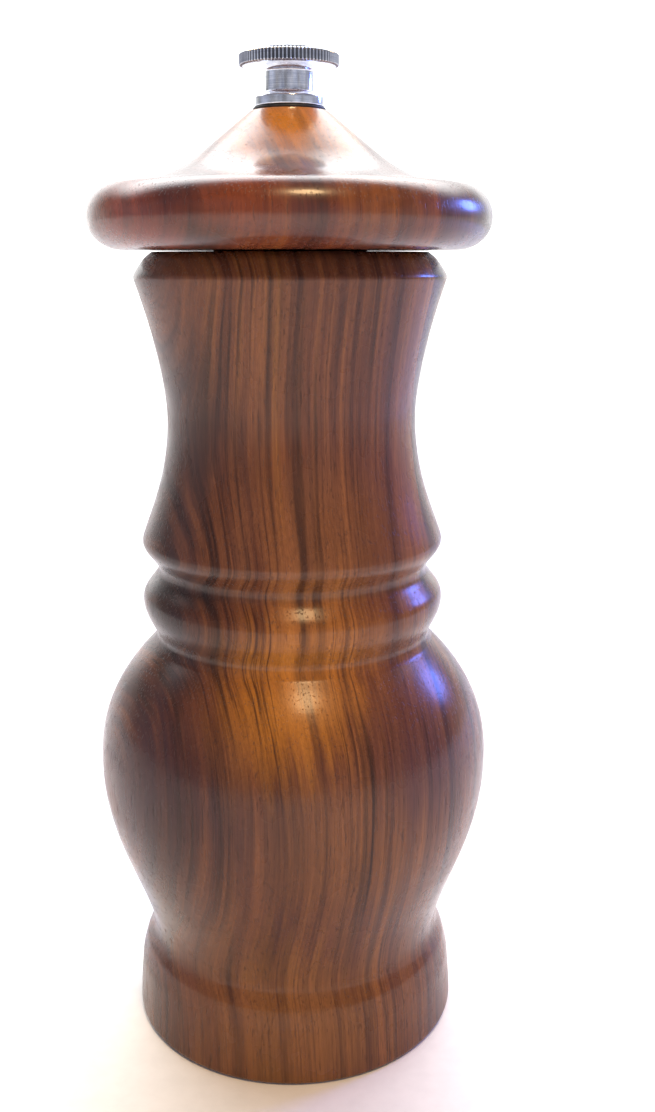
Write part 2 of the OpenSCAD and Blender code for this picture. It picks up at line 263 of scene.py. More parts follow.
def add(
    tree: Tree,
    kind: str,
    inputs: dict[str | int, Any] | None = None,
    stops: list[tuple[float, str]] | None = None,
    **settings: Any,
) -> bpy.types.Node:
    """Adds one node, with its settings, values and links.

    Args:
        tree: node tree that gets the node.
        kind: Blender's name for the node type.
        inputs: input name or number to a socket that is linked or a value that is set.
        stops: position and hex colour pairs of a colour ramp.
        **settings: attributes of the node.

    Returns:
        The node.
    """
    node = tree.nodes.new(kind)
    for name, value in settings.items():
        setattr(node, name, value)
    for name, value in (inputs or {}).items():
        if isinstance(value, bpy.types.NodeSocket):
            tree.links.new(value, node.inputs[name])
        else:
            node.inputs[name].default_value = value
    if stops:
        ramp = node.color_ramp
        while len(ramp.elements) < len(stops):
            ramp.elements.new(0.5)
        for element, (position, colour) in zip(ramp.elements, stops):
            element.position = position
            element.color = linear(colour)
    return node


def blank(name: str) -> tuple[bpy.types.Material, Tree, bpy.types.Node, Socket]:
    """Starts a material with a principled shader and object coordinates in millimetres.

    Args:
        name: name of the material.

    Returns:
        The material, its tree, its shader node and the coordinate socket.
    """
    material = bpy.data.materials.new(name)
    material.use_nodes = True
    tree = material.node_tree
    tree.nodes.clear()
    shader = add(tree, "ShaderNodeBsdfPrincipled")
    add(tree, "ShaderNodeOutputMaterial", {"Surface": shader.outputs[0]})
    place = add(tree, "ShaderNodeTexCoord")
    scaled = add(
        tree, "ShaderNodeVectorMath", {0: place.outputs["Object"], 1: (1.0 / MM,) * 3}, operation="MULTIPLY",
    )
    return material, tree, shader, scaled.outputs[0]


@dataclass(frozen=True)
class Zone:
    """A patch of the wood whose colour differs, darker or golden; the golden patches in front are partly
    painted warm light and sheen.
    """

    centre: tuple[float, float, float]
    reach: float
    colour: str
    strength: float


@dataclass(frozen=True)
class Rosewood:
    """Rosewood, turned, sanded fine, oiled and buffed.

    The layers of growth are planes seen edge-on, so they draw upright streaks on the straight
    parts, bend with the belly, and open into ovals where they lie flat to the surface. Open pores
    give short dark dashes along the grain. The oil leaves a satin gloss.
    """

    name: str
    growth_angle: float = 201.0
    offset: tuple[float, float, float] = (0.0, 0.0, 0.0)
    tones: tuple[tuple[float, str], ...] = (
        (0.30, "#341c1a"),
        (0.41, "#4d2b21"),
        (0.50, "#683d29"),
        (0.59, "#7f4d2e"),
        (0.70, "#96622f"),
    )
    zones: tuple[Zone, ...] = ()
    gloss: float = 0.25
    coat: float = 0.05
    ior: float = 1.34
    lines: float = 1.2

    def streaks(
        self, tree: Tree, place: Socket, size: tuple[float, float, float],
        detail: float = 2.0, roughness: float = 0.5,
    ) -> Socket:
        """Noise drawn out along the grain.

        Args:
            tree: node tree of the material.
            place: coordinates in millimetres.
            size: size of one feature across the layers, along them and up the grain.
            detail: octaves of the noise.
            roughness: how strong the fine octaves are.

        Returns:
            The noise value.
        """
        turn = (0.0, 0.0, math.radians(self.growth_angle))
        turned = add(
            tree, "ShaderNodeMapping",
            {"Vector": place, "Location": self.offset, "Rotation": turn, "Scale": size},
            vector_type="TEXTURE",
        )
        values = {"Vector": turned.outputs[0], "Scale": 1.0, "Detail": detail, "Roughness": roughness}
        return add(tree, "ShaderNodeTexNoise", values).outputs["Fac"]

    def build(self) -> bpy.types.Material:
        """Builds the material.

        Returns:
            The finished material.
        """
        material, tree, shader, place = blank(self.name)
        warp = self.warped(tree, place)
        broad = self.streaks(tree, warp, (6.5, 60.0, 260.0), detail=2.0)
        medium = self.streaks(tree, warp, (1.5, 36.0, 150.0), detail=4.0, roughness=0.72)
        blend = add(tree, "ShaderNodeMix", {0: 0.55, 2: broad, 3: medium}, data_type="FLOAT")
        ramp = add(tree, "ShaderNodeValToRGB", {0: blend.outputs[0]}, stops=list(self.tones))
        colour = ramp.outputs[0]
        # Colour zones: the wood's own patches, and golden ones in front that are partly painted warm light
        # and sheen.
        for zone in self.zones:
            colour = self.lay_zone(tree, warp, colour, zone)
        colour, lines = self.dark_lines(tree, warp, colour)
        colour, pores = self.pores(tree, place, colour)
        tree.links.new(colour, shader.inputs["Base Color"])
        self.surface(tree, shader, place, lines, pores)
        return material

    def warped(self, tree: Tree, place: Socket) -> Socket:
        """Bends the layers slowly, as growth does: a wide sway of 2.5 mm and a small one of 0.5 mm.

        Args:
            tree: node tree of the material.
            place: coordinates in millimetres.

        Returns:
            The bent coordinates in millimetres.
        """
        for size, sway in (((40.0, 40.0, 90.0), 2.5), ((9.0, 9.0, 30.0), 0.5)):
            cell = add(
                tree, "ShaderNodeMapping", {"Vector": place, "Location": self.offset, "Scale": size},
                vector_type="TEXTURE",
            )
            noise = add(tree, "ShaderNodeTexNoise", {"Vector": cell.outputs[0], "Scale": 1.0, "Detail": 1.0})
            centred = add(
                tree, "ShaderNodeVectorMath",
                {0: noise.outputs["Color"], 1: (0.5,) * 3},
                operation="SUBTRACT",
            )
            moved = add(
                tree, "ShaderNodeVectorMath",
                {0: centred.outputs[0], 1: (2.0 * sway, 2.0 * sway, 0.0), 2: place},
                operation="MULTIPLY_ADD",
            )
            place = moved.outputs[0]
        return place

    def lay_zone(self, tree: Tree, place: Socket, colour: Socket, zone: Zone) -> Socket:
        """Lays a colour zone over the wood, with an edge that is drawn out along the grain.

        Args:
            tree: node tree of the material.
            place: coordinates in millimetres.
            colour: colour so far.
            zone: the zone.

        Returns:
            The new colour.
        """
        away = add(tree, "ShaderNodeVectorMath", {0: place, 1: zone.centre}, operation="DISTANCE")
        ragged = self.streaks(tree, place, (2.2, 16.0, 34.0), detail=3.0, roughness=0.65)
        moved = add(
            tree, "ShaderNodeMath",
            {0: ragged, 1: zone.reach * 1.6, 2: away.outputs["Value"]},
            operation="MULTIPLY_ADD",
        )
        share = add(
            tree, "ShaderNodeMapRange",
            {0: moved.outputs[0], 1: zone.reach * 0.9, 2: zone.reach * 2.0, 3: zone.strength, 4: 0.0},
            interpolation_type="SMOOTHSTEP",
        )
        mixed = add(
            tree, "ShaderNodeMix", {0: share.outputs[0], 6: colour, 7: linear(zone.colour)}, data_type="RGBA",
        )
        return mixed.outputs[2]

    def dark_lines(self, tree: Tree, place: Socket, colour: Socket) -> tuple[Socket, Socket]:
        """Draws the dark growth lines, thin ones in groups and a few broad ones.

        Args:
            tree: node tree of the material.
            place: bent coordinates in millimetres.
            colour: colour so far.

        Returns:
            The new colour and how strong the thin lines are.
        """
        group = self.streaks(tree, place, (8.0, 50.0, 120.0), detail=1.0)
        often = add(
            tree, "ShaderNodeMapRange",
            {0: group, 1: 0.38, 2: 0.62, 3: 0.10 * self.lines, 4: 0.62 * self.lines},
        )
        thin = self.streaks(tree, place, (0.5, 14.0, 80.0), detail=3.0, roughness=0.6)
        sharp = add(
            tree, "ShaderNodeMapRange", {0: thin, 1: 0.47, 2: 0.68, 3: 0.0, 4: 1.0},
            interpolation_type="SMOOTHSTEP",
        )
        share = add(tree, "ShaderNodeMath", {0: sharp.outputs[0], 1: often.outputs[0]}, operation="MULTIPLY")
        first = add(
            tree, "ShaderNodeMix", {0: share.outputs[0], 6: colour, 7: linear("#2b1713")}, data_type="RGBA",
        )
        wide = self.streaks(tree, place, (2.4, 40.0, 110.0), detail=3.0, roughness=0.6)
        few = add(
            tree, "ShaderNodeMapRange", {0: wide, 1: 0.52, 2: 0.72, 3: 0.0, 4: 0.60 * self.lines},
            interpolation_type="SMOOTHSTEP",
        )
        second = add(
            tree, "ShaderNodeMix",
            {0: few.outputs[0], 6: first.outputs[2], 7: linear("#241512")}, data_type="RGBA",
        )
        return second.outputs[2], share.outputs[0]

    def pores(self, tree: Tree, place: Socket, colour: Socket) -> tuple[Socket, Socket]:
        """Draws the pores, dashes 0.3 mm wide and some 4 mm long, and the fine fibres between them.

        Args:
            tree: node tree of the material.
            place: coordinates in millimetres.
            colour: colour so far.

        Returns:
            The new colour and the depth of the pores, from 0 to 1.
        """
        cells = self.streaks(tree, place, (0.36, 0.36, 4.6), detail=1.0)
        depth = add(
            tree, "ShaderNodeMapRange", {0: cells, 1: 0.60, 2: 0.74, 3: 0.0, 4: 1.0},
            interpolation_type="SMOOTHSTEP",
        )
        share = add(tree, "ShaderNodeMath", {0: depth.outputs[0], 1: 0.4}, operation="MULTIPLY")
        mixed = add(
            tree, "ShaderNodeMix", {0: share.outputs[0], 6: colour, 7: linear("#2a1712")}, data_type="RGBA",
        )
        fibres = self.streaks(tree, place, (0.2, 0.5, 7.0), detail=3.0, roughness=0.7)
        tone = add(tree, "ShaderNodeMapRange", {0: fibres, 1: 0.3, 2: 0.7, 3: 0.82, 4: 1.18})
        toned = add(
            tree, "ShaderNodeVectorMath", {0: mixed.outputs[2], "Scale": tone.outputs[0]}, operation="SCALE",
        )
        return toned.outputs[0], depth.outputs[0]

    def surface(
        self, tree: Tree, shader: bpy.types.Node, place: Socket, lines: Socket, pores: Socket,
    ) -> None:
        """Sets the gloss and the relief: open pores, raised growth lines and faint turning rings.

        Args:
            tree: node tree of the material.
            shader: the principled shader.
            place: coordinates in millimetres.
            lines: strength of the thin dark lines.
            pores: depth of the pores.
        """
        wear = add(
            tree, "ShaderNodeTexNoise", {"Vector": place, "Scale": 0.09, "Detail": 3.0, "Roughness": 0.6},
        )
        gloss = add(
            tree, "ShaderNodeMapRange",
            {0: wear.outputs["Fac"], 1: 0.35, 2: 0.65, 3: self.gloss - 0.05, 4: self.gloss + 0.07},
        )
        rough = add(
            tree, "ShaderNodeMath", {0: pores, 1: 0.22, 2: gloss.outputs[0]}, operation="MULTIPLY_ADD",
        )
        tree.links.new(rough.outputs[0], shader.inputs["Roughness"])
        cell = add(
            tree, "ShaderNodeMapping", {"Vector": place, "Scale": (30.0, 30.0, 0.55)}, vector_type="TEXTURE",
        )
        tool = add(tree, "ShaderNodeTexNoise", {"Vector": cell.outputs[0], "Scale": 1.0, "Detail": 2.0})
        height = 0.0
        for relief, depth in ((pores, -0.022), (lines, -0.006), (tool.outputs["Fac"], 0.008)):
            height = add(
                tree, "ShaderNodeMath", {0: relief, 1: depth, 2: height}, operation="MULTIPLY_ADD",
            ).outputs[0]
        bump = add(tree, "ShaderNodeBump", {"Height": height, "Distance": MM, "Strength": 0.8})
        tree.links.new(bump.outputs[0], shader.inputs["Normal"])
        shader.inputs["IOR"].default_value = self.ior
        shader.inputs["Coat Weight"].default_value = self.coat
        shader.inputs["Coat Roughness"].default_value = 0.12
        shader.inputs["Coat IOR"].default_value = 1.47


@dataclass(frozen=True)
class MetalFinish:
    """A bare or plated metal: tone wanders slightly, and the marks of the last tool run one way.

    Stamped parts have fine random scuffs, turned ones rings round the axis, drawn ones lines along
    it, and hardened ones a dark mottled scale. A knurl is darker between two radii, between its teeth.
    """

    name: str
    worked: Metal
    light: str
    dark: str
    roughness: float
    relief: float = 0.004
    dark_band: tuple[float, float] | None = None

    def darkened(self, tree: Tree, place: Socket, colour: Socket) -> Socket:
        """Darkens the metal between two distances from the axis, between the teeth of the knurl.

        Args:
            tree: node tree of the material.
            place: coordinates in millimetres.
            colour: colour so far.

        Returns:
            The new colour.
        """
        low, high = self.dark_band
        flat = add(tree, "ShaderNodeVectorMath", {0: place, 1: (1.0, 1.0, 0.0)}, operation="MULTIPLY")
        reach = add(tree, "ShaderNodeVectorMath", {0: flat.outputs[0]}, operation="LENGTH").outputs["Value"]
        inner = add(tree, "ShaderNodeMapRange", {0: reach, 1: low - 0.15, 2: low, 3: 0.0, 4: 0.55})
        outer = add(tree, "ShaderNodeMapRange", {0: reach, 1: high - 0.22, 2: high, 3: 1.0, 4: 0.0})
        share = add(tree, "ShaderNodeMath", {0: inner.outputs[0], 1: outer.outputs[0]}, operation="MULTIPLY")
        mixed = add(
            tree, "ShaderNodeMix", {0: share.outputs[0], 6: colour, 7: linear("#3d3634")}, data_type="RGBA",
        )
        return mixed.outputs[2]

    def build(self) -> bpy.types.Material:
        """Builds the material.

        Returns:
            The finished material.
        """
        material, tree, shader, place = blank(self.name)
        # Size of one mark of the tool along X, Y and Z, in millimetres.
        sizes = {
            Metal.STAMPED: (0.7, 0.25, 0.7),
            Metal.TURNED: (9.0, 9.0, 0.12),
            Metal.DRAWN: (0.16, 0.16, 12.0),
            Metal.HARDENED: (0.5, 0.5, 0.5),
        }
        cell = add(
            tree, "ShaderNodeMapping", {"Vector": place, "Scale": sizes[self.worked]}, vector_type="TEXTURE",
        )
        marks = add(tree, "ShaderNodeTexNoise", {"Vector": cell.outputs[0], "Scale": 1.0, "Detail": 3.0})
        tone = add(
            tree, "ShaderNodeTexNoise", {"Vector": place, "Scale": 0.35, "Detail": 3.0, "Roughness": 0.6},
        )
        both = add(
            tree, "ShaderNodeMath", {0: marks.outputs["Fac"], 1: tone.outputs["Fac"]}, operation="MULTIPLY",
        )
        stops = [(0.12, self.dark), (0.34, self.light)]
        ramp = add(tree, "ShaderNodeValToRGB", {0: both.outputs[0]}, stops=stops)
        gloss = add(
            tree, "ShaderNodeMapRange",
            {0: both.outputs[0], 1: 0.12, 2: 0.40, 3: self.roughness + 0.10, 4: self.roughness - 0.03},
        )
        bump = add(
            tree, "ShaderNodeBump",
            {"Height": marks.outputs["Fac"], "Distance": MM * self.relief, "Strength": 1.0},
        )
        colour = self.darkened(tree, place, ramp.outputs[0]) if self.dark_band else ramp.outputs[0]
        tree.links.new(colour, shader.inputs["Base Color"])
        tree.links.new(gloss.outputs[0], shader.inputs["Roughness"])
        tree.links.new(bump.outputs[0], shader.inputs["Normal"])
        shader.inputs["Metallic"].default_value = 1.0
        return material


@dataclass(frozen=True)
class DullFinish:
    """A moulded plastic or pressed fibre: fine pebbled skin, faint tone changes, low gloss."""

    name: str
    light: str
    dark: str
    roughness: float
    pebble: float

    def build(self) -> bpy.types.Material:
        """Builds the material.

        Returns:
            The finished material.
        """
        material, tree, shader, place = blank(self.name)
        skin = add(tree, "ShaderNodeTexNoise", {"Vector": place, "Scale": 1.0 / self.pebble, "Detail": 2.0})
        tone = add(
            tree, "ShaderNodeTexNoise", {"Vector": place, "Scale": 0.25, "Detail": 4.0, "Roughness": 0.6},
        )
        stops = [(0.35, self.dark), (0.65, self.light)]
        ramp = add(tree, "ShaderNodeValToRGB", {0: tone.outputs["Fac"]}, stops=stops)
        gloss = add(
            tree, "ShaderNodeMapRange",
            {0: skin.outputs["Fac"], 1: 0.3, 2: 0.7, 3: self.roughness - 0.06, 4: self.roughness + 0.08},
        )
        bump = add(
            tree, "ShaderNodeBump", {"Height": skin.outputs["Fac"], "Distance": MM * 0.02, "Strength": 0.7},
        )
        tree.links.new(ramp.outputs[0], shader.inputs["Base Color"])
        tree.links.new(gloss.outputs[0], shader.inputs["Roughness"])
        tree.links.new(bump.outputs[0], shader.inputs["Normal"])
        shader.inputs["IOR"].default_value = 1.53
        return material


# ---------------------------------------------------------------- turnings


@dataclass
class WoodBody:
    """The turned body: foot, waist, belly, bead, neck and collar round a bored chamber."""

    foot_r: float = 31.0
    foot_wall: tuple[float, float] = (30.35, 10.3)
    foot_crease: tuple[float, float] = (29.5, 13.8)
    waist: tuple[float, float] = (27.8, 18.2)
    belly: tuple[float, float] = (36.43, 52.0)
    belly_end: tuple[float, float] = (26.0, 75.0)
    lower_groove: tuple[float, float] = (25.3, 76.5)
    bead: tuple[float, float] = (27.6, 83.3)
    upper_groove: tuple[float, float] = (24.7, 89.0)
    flare: tuple[float, float] = (27.4, 94.1)
    neck: tuple[float, float] = (22.2, 117.0)
    collar: tuple[float, float] = (27.4, 140.5)
    top_r: float = 24.0
    chamber_r: float = 13.5
    recess: tuple[float, float] = (20.5, 12.0)
    segments: int = 256

    def outline(self) -> np.ndarray:
        """The outside from the foot's underside to the top, smooth but for the collar's edge.

        Returns:
            (radius, height) rows.
        """
        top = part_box("body")[1][2] / MM
        tread_r = self.foot_r - 0.9
        foot = [
            line((self.recess[0] + 0.4, 0.0), (tread_r, 0.0)),
            ellipse((tread_r, 0.9), (0.9, 0.9), -85, 0, 8),
        ]
        wall = [
            power_curve((self.foot_r, 1.0), self.foot_wall, 1.3, 30),
            power_curve(self.foot_wall, self.foot_crease, 1.25, 12),
        ]
        cove = swell((self.foot_crease[0] - 0.05, self.foot_crease[1] + 0.15), self.waist, 0.7)
        belly = [swell(self.waist, self.belly, 0.785), power_curve(self.belly, self.belly_end, 2.3)]
        beads = [
            swell(self.lower_groove, self.bead, 0.82),
            swell(self.bead, self.upper_groove, 1.15),
            swell(self.upper_groove, self.flare, 1.0),
        ]
        neck = [swell(self.flare, self.neck, 0.62), power_curve(self.neck, self.collar, 1.55)]
        edge_r, edge_z = self.collar[0] - 0.1, self.collar[1] + 0.3
        bow = line((0.0, 0.0), (0.26, 0.36), (0.44, 0.57), (0.60, 0.74), (1.0, 1.0))
        bevel = np.array([edge_r, edge_z]) + bow * np.array([self.top_r - edge_r, top - edge_z])
        parts = [*foot, *wall, cove, *belly, *beads, *neck, bevel]
        softened = soften(np.concatenate(parts), 0.5, 1.3)
        softened[:, 1] = np.clip(softened[:, 1], 0.0, top)
        return softened

    def hollow(self) -> np.ndarray:
        """The inside from the top edge down the chamber, across the recess and out at the foot.

        Returns:
            (radius, height) rows.
        """
        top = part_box("body")[1][2] / MM
        r, (recess_r, recess_h) = self.chamber_r, self.recess
        return line(
            (r + 0.5, top), (r + 0.1, top - 0.15), (r, top - 0.6), (r, recess_h + 0.5), (r + 0.4, recess_h),
            (recess_r - 0.2, recess_h), (recess_r, recess_h - 0.2), (recess_r, 0.5), (recess_r + 0.15, 0.12),
        )

    def build(self, wood: bpy.types.Material) -> bpy.types.Object:
        """Builds the body.

        Args:
            wood: its material.

        Returns:
            The finished piece.
        """
        loop = np.concatenate([self.outline(), self.hollow()])
        piece = make_piece("body_turning", rings_from(loop, self.segments), wrap_rows=True)
        dress(piece, wood)
        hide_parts("body")
        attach(piece, "mill_body")
        return piece


@dataclass
class WoodHead:
    """The turned head: a disc with a rounded rim, a cone on top and a spigot below."""

    disc_low_r: float = 28.8
    disc_crease_r: float = 29.5
    disc_r: float = 34.8
    edge_z: float = 150.2
    crease_z: float = 155.7
    flare_radius: float = 22.5
    cone_angle: float = 38.5
    flat_r: float = 6.5
    spigot_r: float = 13.2
    bore_r: float = 3.8
    under_z: float = 144.95
    segments: int = 256

    def outline(self) -> np.ndarray:
        """The outside from the bore at the spigot's end to the bore at the top.

        Returns:
            (radius, height) rows.
        """
        low, high = (corner[2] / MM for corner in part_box("head"))
        a = np.radians(np.linspace(0.0, self.cone_angle, 40))
        rho = self.flare_radius
        crease_r, edge_z, spigot_r = self.disc_crease_r, self.edge_z, self.spigot_r
        cone = np.stack([crease_r - rho * np.sin(a), self.crease_z + rho * (1.0 - np.cos(a))], axis=1)
        spigot = line(
            (self.bore_r + 0.3, low), (spigot_r - 0.5, low), (spigot_r, low + 0.5), (spigot_r, self.under_z),
        )
        lower_half = (self.disc_r - self.disc_low_r, edge_z - self.under_z)
        upper_half = (self.disc_r - crease_r, self.crease_z - edge_z)
        rim = [
            ellipse((self.disc_low_r, edge_z), lower_half, -90, 0),
            ellipse((crease_r, edge_z), upper_half, 2, 90),
        ]
        tip = line((self.flat_r + 0.3, high - 0.2), (self.flat_r, high), (self.bore_r + 0.3, high))
        return soften(np.concatenate([spigot, *rim, cone, tip]), 0.35, 1.2)

    def build(self, wood: bpy.types.Material) -> bpy.types.Object:
        """Builds the head.

        Args:
            wood: its material.

        Returns:
            The finished piece.
        """
        low, high = (corner[2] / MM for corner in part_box("head"))
        bore = line((self.bore_r, high - 0.3), (self.bore_r, low + 0.3))
        loop = np.concatenate([self.outline(), bore])
        piece = make_piece("head_turning", rings_from(loop, self.segments), wrap_rows=True)
        dress(piece, wood)
        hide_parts("head")
        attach(piece, "head")
        return piece


@dataclass
class FinialNut:
    """The knurled nut and the washer under it."""

    knurl_r: float = 8.4
    knurl_root: float = 7.9
    teeth: int = 80
    knurl_z: tuple[float, float] = (6.5, 8.4)
    flange_r: float = 6.0
    flange_t: float = 1.65
    neck_z: tuple[float, float] = (2.65, 5.65)
    neck_waist: tuple[float, float] = (4.2, 4.15)
    dome: tuple[float, float] = (7.6, 8.7)
    bore_r: float = 2.45
    bore_depth: float = 7.4
    height: float = 9.5
    samples: int = 8

    def outline(self) -> np.ndarray:
        """The outside from the bore's closed end, down, round the flange, neck and rim to the crown.

        The neck is very slightly waisted: r = waist radius + 0.02 * (height - waist height) squared.

        Returns:
            (radius, height above the flange's underside) rows.
        """
        bore_r, depth = self.bore_r, self.bore_depth
        bore = line((0.4, depth), (bore_r, depth), (bore_r, 0.25), (bore_r + 0.25, 0.0))
        edge, top, (low, high) = self.flange_r, self.flange_t, self.knurl_z
        flange = line((edge - 0.15, 0.0), (edge, 0.15), (edge, top - 0.15), (edge - 0.15, top))
        rise = np.linspace(*self.neck_z, 24)
        waist = np.column_stack([self.neck_waist[0] + 0.02 * (rise - self.neck_waist[1]) ** 2, rise])
        cove = swell((edge - 0.35, top), (waist[0, 0], waist[0, 1]), 0.6)
        neck = np.concatenate([waist, line((4.5, 5.87), (7.6, low - 0.12))])
        rim = line((self.knurl_root, low), (self.knurl_root, high), self.dome)
        crown = ellipse((0.0, self.dome[1]), (self.dome[0], self.height - self.dome[1]), 2, 86, 30)
        stem = np.concatenate([cove, neck])
        return soften(np.concatenate([bore, flange, stem, rim, crown]), 0.14, 0.45, 6.0)

    def build(self, metal: bpy.types.Material) -> bpy.types.Object:
        """Builds the nut; within the rim the radius rises and falls with the angle, tooth by tooth.

        Between the two heights of the knurl r = root + depth * share * ridge, where the ridge is a
        rounded saw wave of the angle and the share fades to nothing at the rim's two edges.

        Args:
            metal: its material.

        Returns:
            The finished piece.
        """
        rows = self.outline()
        rings = rings_from(rows, self.teeth * self.samples)
        angle = np.arange(rings.shape[1]) * (2.0 * np.pi / rings.shape[1])
        wave = np.abs(((angle * self.teeth / (2.0 * np.pi)) % 1.0) * 2.0 - 1.0)
        ridge = 1.0 - np.clip(wave * 1.5 - 0.25, 0.0, 1.0)
        low, high = self.knurl_z
        edge = np.clip(np.minimum(rows[:, 1] - low + 0.08, high + 0.08 - rows[:, 1]) / 0.2, 0.0, 1.0)
        share = edge * (rows[:, 0] > 7.3)
        depth = self.knurl_r - self.knurl_root
        grown = 1.0 + depth * share[:, None] * ridge[None, :] / np.maximum(rows[:, :1], 1.0)
        rings[:, :, :2] *= grown[:, :, None]
        rings[:, :, 2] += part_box("finial_nut")[0][2] / MM
        piece = make_piece("knurled_nut", rings, sharp=50.0)
        dress(piece, metal)
        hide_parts("finial_nut")
        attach(piece, "nut")
        return piece

    def build_washer(self, fibre: bpy.types.Material) -> bpy.types.Object:
        """Builds the thin washer with rounded edges, squeezed between the nut and the wood.

        Args:
            fibre: its material.

        Returns:
            The finished piece.
        """
        low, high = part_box("nut_washer")
        outer, z0, z1 = high[0] / MM, low[2] / MM, high[2] / MM
        half = (z1 - z0) / 2.0
        inner = 2.7
        outside = ellipse((outer - 0.18, z0 + half), (0.18, half), -90, 90, 9)
        inside = ellipse((inner + 0.1, z0 + half), (0.1, half), 90, 270, 7)
        loop = np.concatenate([outside, inside])
        piece = make_piece("fibre_washer", rings_from(loop, 128), wrap_rows=True)
        dress(piece, fibre)
        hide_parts("nut_washer")
        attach(piece, "head")
        return piece


# ---------------------------------------------------------------- mechanism


@dataclass
class DriveShaft:
    """The square shaft: a round journal with a groove for the clip, the square, a rolled thread."""

    half_width: float = 2.4
    corner_r: float = 3.3
    journal_r: float = 2.3
    groove_r: float = 1.7
    thread_r: float = 2.35
    root_r: float = 1.85
    pitch: float = 1.058
    thread_z: float = 162.5
    tip: float = 0.6
    segments: int = 96

    def square(self, angle: np.ndarray) -> np.ndarray:
        """Radius of the square section at each angle, with its corners turned off.

        Args:
            angle: angles in radians.

        Returns:
            Half the width divided by the larger of cosine and sine, but no more than the corner radius.
        """
        flat = self.half_width / np.maximum(np.abs(np.cos(angle)), np.abs(np.sin(angle)))
        return np.minimum(flat, self.corner_r)

    def build(self, metal: bpy.types.Material) -> bpy.types.Object:
        """Builds the shaft from sections stacked along it.

        In the thread r = root + depth * a rounded wave of (height / pitch - angle / one turn), which
        climbs one pitch each turn; it fades in over the first turn and out at the tip.

        Args:
            metal: its material.

        Returns:
            The finished piece.
        """
        low, high = (corner[2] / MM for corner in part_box("shaft"))
        square_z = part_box("rotor_burr")[0][2] / MM
        clip_low, clip_high = (corner[2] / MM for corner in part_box("shaft_clip"))
        thread_z, thread_top = self.thread_z, high - self.tip
        angle = np.arange(self.segments) * (2.0 * np.pi / self.segments)
        round_r, groove_r = self.journal_r, self.groove_r
        plain = line(
            (0.6, low), (round_r - 0.4, low + 0.02), (round_r, low + 0.4), (round_r, clip_low - 0.03),
            (groove_r, clip_low - 0.02), (groove_r, clip_high + 0.02), (round_r, clip_high + 0.03),
            (round_r, square_z),
        )
        ends = rings_from(plain, self.segments)
        along = np.array([square_z + 0.01, square_z + 2.0, 40.0, 80.0, 120.0, 150.0, thread_z - 0.35])
        bar = self.square(angle)[None, :] * np.ones((len(along), 1))
        turned = np.minimum(bar[-1:], 2.75)
        z_thread = np.arange(thread_z, thread_top, self.pitch / 14.0)
        climb = z_thread[:, None] / self.pitch - angle[None, :] / (2.0 * np.pi)
        wave = 0.5 + 0.5 * np.cos(2.0 * np.pi * climb)
        fade = np.clip(np.minimum(z_thread - thread_z, thread_top - z_thread) / self.tip, 0.0, 1.0)[:, None]
        thread = self.root_r + (self.thread_r - self.root_r) * fade * np.clip(wave * 1.3 - 0.1, 0.0, 1.0)
        radii = np.concatenate([bar, turned, thread, np.full((1, self.segments), self.root_r - 0.35)])
        heights = np.concatenate([along, [thread_z - 0.05], z_thread, [high]])
        tall = np.broadcast_to(heights[:, None], radii.shape)
        body = np.stack([radii * np.cos(angle), radii * np.sin(angle), tall], axis=2)
        piece = make_piece("square_shaft", np.concatenate([ends, body]), sharp=35.0)
        dress(piece, metal)
        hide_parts("shaft")
        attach(piece, "shaft")
        return piece


@dataclass
class CoilSpring:
    """The compression spring, wound from round wire with closed ends."""

    coil_r: float = 4.7
    wire_r: float = 0.5
    turns: float = 5.4
    travel: float = 2.0

    def build(self, metal: bpy.types.Material) -> bpy.types.Object:
        """Sweeps a circle along a helix whose first and last turns lie almost flat.

        The height is the running sum of the pitch, and the pitch is a smooth hump of the share of
        the turns covered, so that the ends close up.

        Args:
            metal: its material.

        Returns:
            The finished piece.
        """
        low, high = (corner[2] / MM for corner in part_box("spring"))
        steps, sides = 420, 14
        t = np.linspace(0.0, 1.0, steps)
        turn = 2.0 * np.pi * self.turns * t
        hump = 0.16 + np.clip(np.minimum(t, 1.0 - t) * self.turns - 0.45, 0.0, 0.6)
        rise = np.concatenate([[0.0], np.cumsum((hump[1:] + hump[:-1]) / 2.0)])
        height = low + self.wire_r + (high - low - 2.0 * self.wire_r) * rise / rise[-1]
        b = np.arange(sides) * (2.0 * np.pi / sides)
        out = self.coil_r + self.wire_r * np.cos(b)[None, :]
        rings = np.stack(
            [
                out * np.cos(turn)[:, None],
                out * np.sin(turn)[:, None],
                height[:, None] + self.wire_r * np.sin(b)[None, :],
            ],
            axis=2,
        )
        piece = make_piece("coil_spring", rings)
        dress(piece, metal)
        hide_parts("spring")
        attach(piece, "spring_carrier")
        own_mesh(piece)
        return piece


